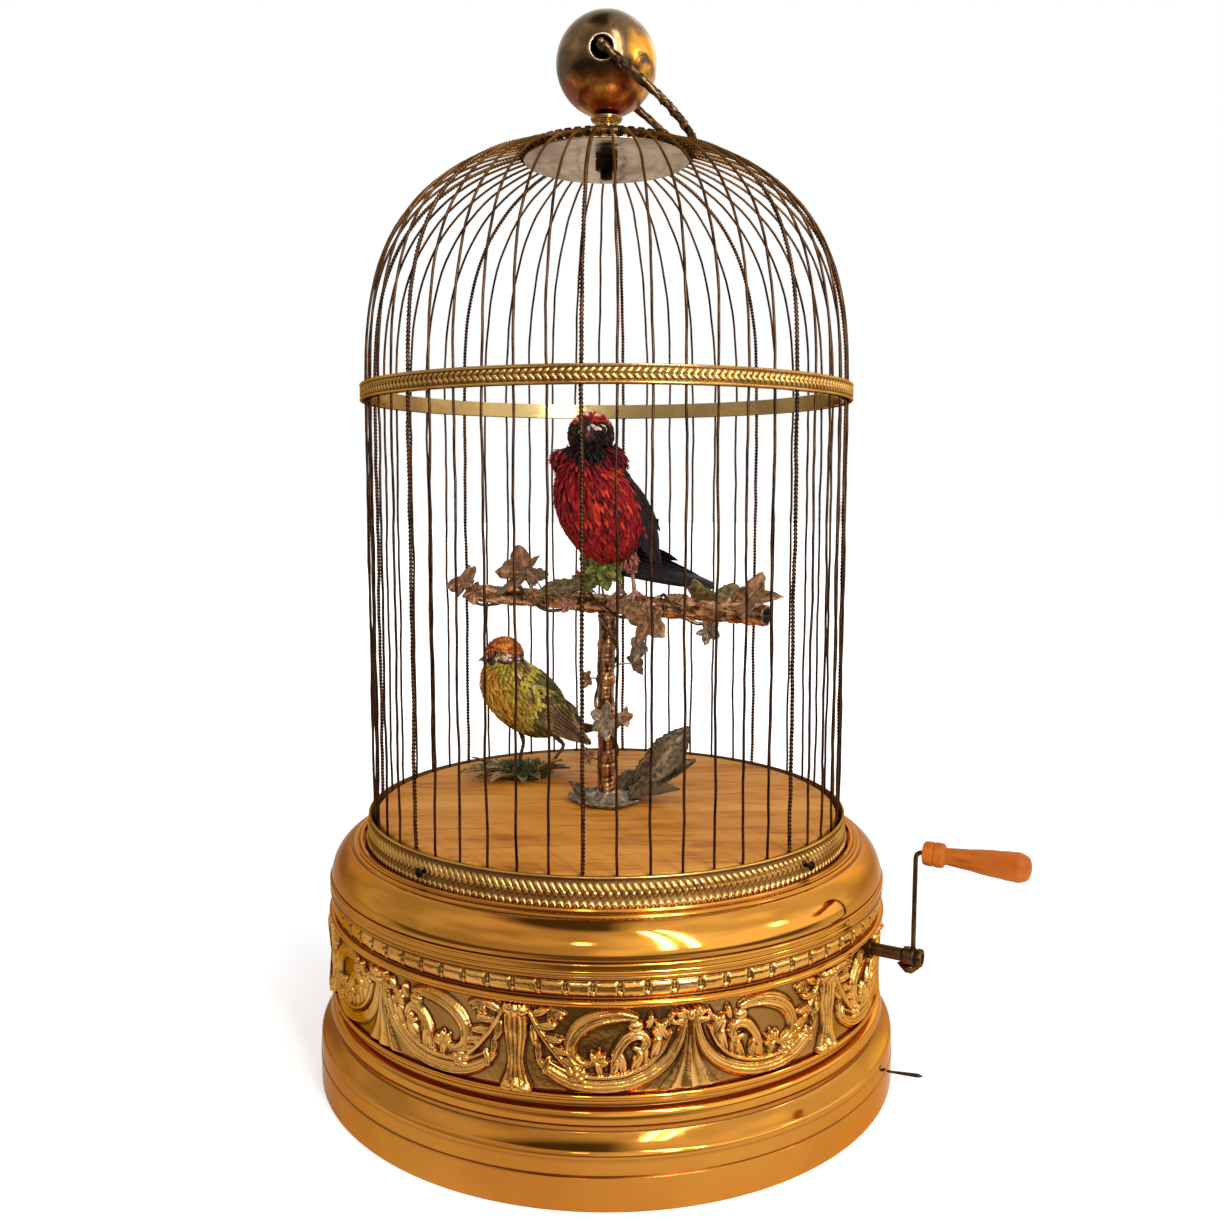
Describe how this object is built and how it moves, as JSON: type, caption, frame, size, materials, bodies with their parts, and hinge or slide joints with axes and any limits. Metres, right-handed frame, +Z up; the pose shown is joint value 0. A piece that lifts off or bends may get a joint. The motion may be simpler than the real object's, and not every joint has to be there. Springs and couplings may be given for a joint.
{
  "type": "singing bird automaton",
  "caption": "Domed wire bird cage on a round moulded base, with feathered birds on a leafy perch and on the floor, a side crank that plays them, and a ball with a carrying ring on top.",
  "frame": {"origin": "centre of the base's flat underside", "axes": "+Z up, -Y towards the front, the crank sticks out to the front right"},
  "size_m": [0.3217, 0.2852, 0.5071],
  "materials": {
    "lacquered_brass": "polished",
    "gilt_strip": "stamped",
    "dark_bronze": "aged",
    "silvered_plate": "silvered",
    "blued_steel": "blued",
    "honey_veneer": "satin varnish",
    "plain_board": "unfinished",
    "handle_wood": "polished",
    "gilded_bark": "rough gilt",
    "patinated_leaf": "patinated",
    "white_leather": "matte",
    "crimson_feathers": "matte",
    "black_feathers": "matte",
    "olive_feathers": "matte",
    "orange_feathers": "matte",
    "horn": "matte"
  },
  "bodies": {
    "base": {"foot_shell": "lacquered_brass", "drum_shell": "lacquered_brass", "shoulder_shell": "lacquered_brass", "bottom_board": "plain_board", "stage_board": "honey_veneer", "lower_ring": "gilt_strip", "ring_screw_1": "blued_steel", "ring_screw_2": "blued_steel", "ring_screw_3": "blued_steel", "ring_screw_4": "blued_steel", "cage_panel_1": "dark_bronze", "cage_panel_2": "dark_bronze", "cage_panel_3": "dark_bronze", "cage_panel_4": "dark_bronze", "cage_panel_5": "dark_bronze", "cage_panel_6": "dark_bronze", "cage_panel_7": "dark_bronze", "cage_panel_8": "dark_bronze", "band_outer": "gilt_strip", "band_inner": "lacquered_brass", "crown_disc": "silvered_plate", "finial_stem": "lacquered_brass", "finial_nut": "blued_steel", "finial_ball": "lacquered_brass", "perch_plate": "patinated_leaf", "perch_post": "gilded_bark", "perch_bar": "gilded_bark", "vine": "patinated_leaf", "leaf_mound": "patinated_leaf", "red_body": "crimson_feathers", "yellow_body": "olive_feathers", "crank_bush": "lacquered_brass", "front_plate": "lacquered_brass", "rear_plate": "lacquered_brass", "bellows_base": "plain_board", "bellows_leather": "white_leather", "whistle_tube": "lacquered_brass", "stop_pivot": "blued_steel"},
    "bail": {"bail_ring": "lacquered_brass"},
    "red_head": {"red_head": "black_feathers"},
    "red_jaw": {"red_beak": "horn"},
    "red_tail": {"red_tail": "crimson_feathers"},
    "yellow_head": {"yellow_head": "orange_feathers"},
    "yellow_jaw": {"yellow_beak": "horn"},
    "yellow_tail": {"yellow_tail": "olive_feathers"},
    "crank": {"crank_shaft": "dark_bronze", "crank_pinion": "blued_steel", "crank_sleeve": "dark_bronze", "crank_screw": "dark_bronze", "crank_arm": "dark_bronze"},
    "handle": {"crank_handle": "handle_wood"},
    "cams": {"cam_shaft": "blued_steel", "cam_wheel": "lacquered_brass", "cam_stack": "lacquered_brass"},
    "song_lever": {"song_lever": "blued_steel"},
    "bird_lever": {"bird_lever": "blued_steel"},
    "whistle_piston": {"whistle_piston": "blued_steel"},
    "push_rod": {"push_rod": "blued_steel"},
    "bellows_top": {"bellows_top": "plain_board"},
    "stop_lever": {"stop_lever": "blued_steel"}
  },
  "joints": [
    {"name": "crank_turn", "type": "hinge", "parent": "base", "child": "crank", "pos_m": [0, 0, 0.0784], "axis": [0.866, -0.5, 0], "continuous": true},
    {"name": "handle_spin", "type": "hinge", "parent": "crank", "child": "handle", "pos_m": [0.13865, -0.08005, 0.1262], "axis": [0.866, -0.5, 0], "continuous": true},
    {"name": "cam_turn", "type": "hinge", "parent": "base", "child": "cams", "pos_m": [-0.01252, -0.02169, 0.0617], "axis": [0.866, -0.5, 0], "continuous": true},
    {"name": "bail_swing", "type": "hinge", "parent": "base", "child": "bail", "pos_m": [0, 0, 0.48335], "axis": [-0.0941, -0.9956, 0], "range_deg": [0, 95.5]},
    {"name": "red_head_turn", "type": "hinge", "parent": "base", "child": "red_head", "pos_m": [-0.00734, -0.02627, 0.3091], "axis": [0, 0, 1], "range_deg": [-20, 20]},
    {"name": "red_beak_open", "type": "hinge", "parent": "red_head", "child": "red_jaw", "pos_m": [-0.0085, -0.03737, 0.30702], "axis": [0.9945, -0.1045, 0], "range_deg": [0, 14], "stiffness_Nm_per_rad": 0.0002, "springref_deg": -2.86},
    {"name": "red_tail_wag", "type": "hinge", "parent": "base", "child": "red_tail", "pos_m": [0.01197, -0.00696, 0.2566], "axis": [0.2409, 0.2409, 0.9402], "range_deg": [-4, 4]},
    {"name": "yellow_head_turn", "type": "hinge", "parent": "base", "child": "yellow_head", "pos_m": [-0.05566, 0.04741, 0.195], "axis": [0, 0, 1], "range_deg": [-20, 20]},
    {"name": "yellow_beak_open", "type": "hinge", "parent": "yellow_head", "child": "yellow_jaw", "pos_m": [-0.06475, 0.04258, 0.19324], "axis": [0.4695, -0.8829, 0], "range_deg": [0, 14], "stiffness_Nm_per_rad": 0.0002, "springref_deg": -2.86},
    {"name": "yellow_tail_wag", "type": "hinge", "parent": "base", "child": "yellow_tail", "pos_m": [-0.02523, 0.05557, 0.157], "axis": [0.1277, 0.0342, 0.9912], "range_deg": [-4, 4]},
    {"name": "song_lever_turn", "type": "hinge", "parent": "base", "child": "song_lever", "pos_m": [0.006, 0.01039, 0.092], "axis": [0.866, -0.5, 0], "range_deg": [-3, 0], "stiffness_Nm_per_rad": 0.01, "springref_deg": 11.46},
    {"name": "bird_lever_turn", "type": "hinge", "parent": "base", "child": "bird_lever", "pos_m": [0.006, 0.01039, 0.092], "axis": [0.866, -0.5, 0], "range_deg": [-4, 0], "stiffness_Nm_per_rad": 0.01, "springref_deg": 11.46},
    {"name": "whistle_piston_slide", "type": "slide", "parent": "base", "child": "whistle_piston", "axis": [0, 0, 1], "range_m": [-0.00136, 0]},
    {"name": "push_rod_slide", "type": "slide", "parent": "base", "child": "push_rod", "axis": [0, 0, 1], "range_m": [0, 0.00083]},
    {"name": "bellows_pump", "type": "hinge", "parent": "base", "child": "bellows_top", "pos_m": [0.02167, 0.04753, 0.03], "axis": [0.866, -0.5, 0], "range_deg": [0, 6], "stiffness_Nm_per_rad": 0.02, "springref_deg": -8.59, "deforming": ["bellows_leather"]},
    {"name": "stop_lever_turn", "type": "hinge", "parent": "base", "child": "stop_lever", "pos_m": [0.10711, -0.03275, 0.0058], "axis": [0, 0, 1], "range_deg": [-4, 4]}
  ],
  "couplings": [
    {"joint": "cam_turn", "follows": "crank_turn", "ratio": -0.25},
    {"joint": "song_lever_turn", "follows": "whistle_piston_slide", "rad_per_m": 38.462},
    {"joint": "bird_lever_turn", "follows": "push_rod_slide", "rad_per_m": -83.333}
  ]
}
